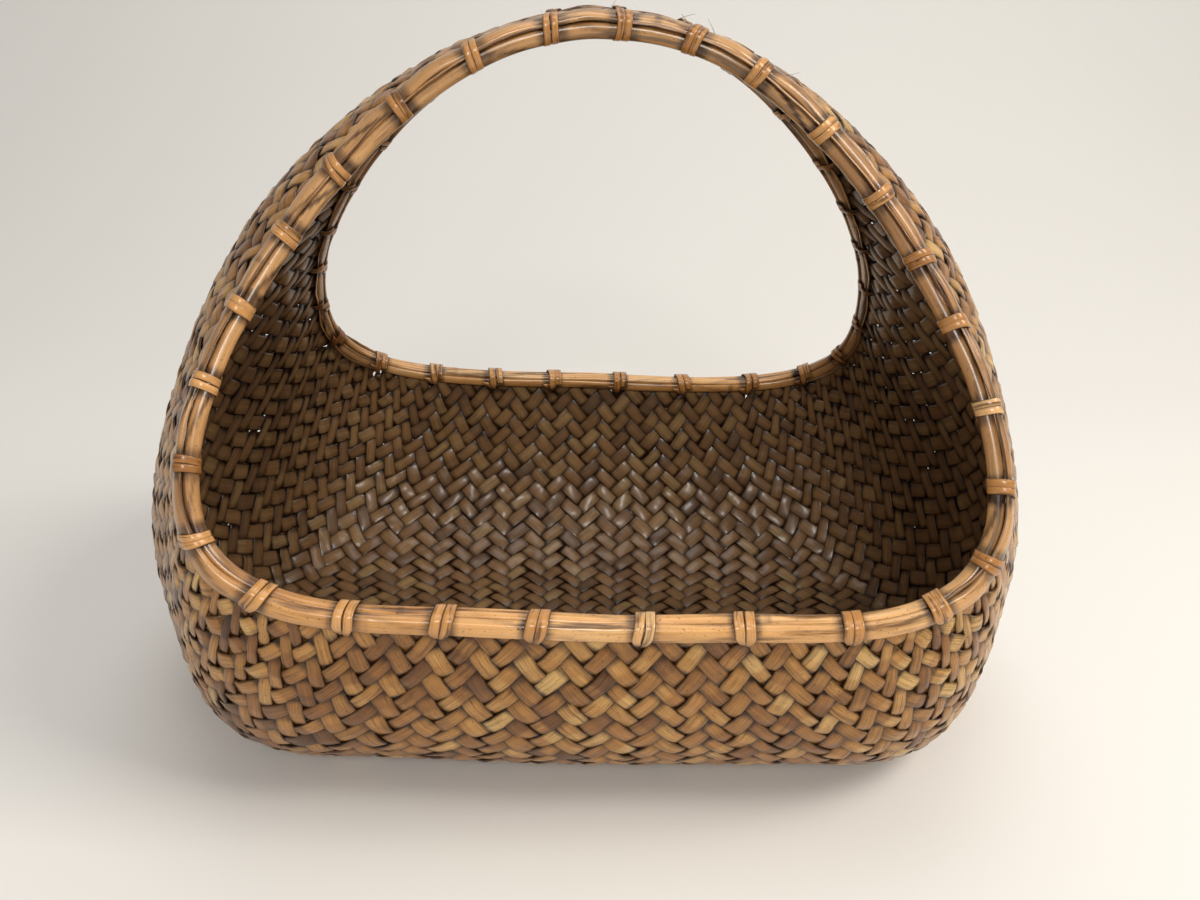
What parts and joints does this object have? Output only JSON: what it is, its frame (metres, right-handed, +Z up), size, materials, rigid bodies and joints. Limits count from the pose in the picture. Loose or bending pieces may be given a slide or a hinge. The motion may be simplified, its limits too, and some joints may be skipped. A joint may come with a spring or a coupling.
{
  "type": "rattan basket",
  "caption": "Plaited rattan basket whose wall runs on from the floor up both sides into an arched handle, with cane rims lashed round its front and rear openings.",
  "frame": {"origin": "centre of the underside, on the surface that the basket stands on", "axes": "+Z up, +X along the width to the right as seen from the front, the front opening faces -Y"},
  "size_m": [0.4864, 0.297, 0.3676],
  "materials": {
    "woven_cane": "varnished golden brown cane splints, darker in the crossings",
    "rim_cane": "glossy golden tan split cane",
    "lashing_cane": "satin light tan cane strip"
  },
  "bodies": {
    "root": {"woven_wall": "woven_cane", "front_outer_cane": "rim_cane", "front_inner_cane": "rim_cane", "front_edge_cane": "rim_cane", "rear_outer_cane": "rim_cane", "rear_inner_cane": "rim_cane", "rear_edge_cane": "rim_cane", "front_lashing_01": "lashing_cane", "front_lashing_02": "lashing_cane", "front_lashing_03": "lashing_cane", "front_lashing_04": "lashing_cane", "front_lashing_05": "lashing_cane", "front_lashing_06": "lashing_cane", "front_lashing_07": "lashing_cane", "front_lashing_08": "lashing_cane", "front_lashing_09": "lashing_cane", "front_lashing_10": "lashing_cane", "front_lashing_11": "lashing_cane", "front_lashing_12": "lashing_cane", "front_lashing_13": "lashing_cane", "front_lashing_14": "lashing_cane", "front_lashing_15": "lashing_cane", "front_lashing_16": "lashing_cane", "front_lashing_17": "lashing_cane", "front_lashing_18": "lashing_cane", "front_lashing_19": "lashing_cane", "front_lashing_20": "lashing_cane", "front_lashing_21": "lashing_cane", "front_lashing_22": "lashing_cane", "front_lashing_23": "lashing_cane", "front_lashing_24": "lashing_cane", "front_lashing_25": "lashing_cane", "front_lashing_26": "lashing_cane", "front_lashing_27": "lashing_cane", "rear_lashing_01": "lashing_cane", "rear_lashing_02": "lashing_cane", "rear_lashing_03": "lashing_cane", "rear_lashing_04": "lashing_cane", "rear_lashing_05": "lashing_cane", "rear_lashing_06": "lashing_cane", "rear_lashing_07": "lashing_cane", "rear_lashing_08": "lashing_cane", "rear_lashing_09": "lashing_cane", "rear_lashing_10": "lashing_cane", "rear_lashing_11": "lashing_cane", "rear_lashing_12": "lashing_cane", "rear_lashing_13": "lashing_cane", "rear_lashing_15": "lashing_cane", "rear_lashing_16": "lashing_cane", "rear_lashing_17": "lashing_cane", "rear_lashing_18": "lashing_cane", "rear_lashing_19": "lashing_cane", "rear_lashing_20": "lashing_cane", "rear_lashing_21": "lashing_cane", "rear_lashing_22": "lashing_cane", "rear_lashing_23": "lashing_cane", "rear_lashing_24": "lashing_cane", "rear_lashing_25": "lashing_cane", "rear_lashing_26": "lashing_cane", "rear_lashing_27": "lashing_cane"}
  },
  "joints": []
}
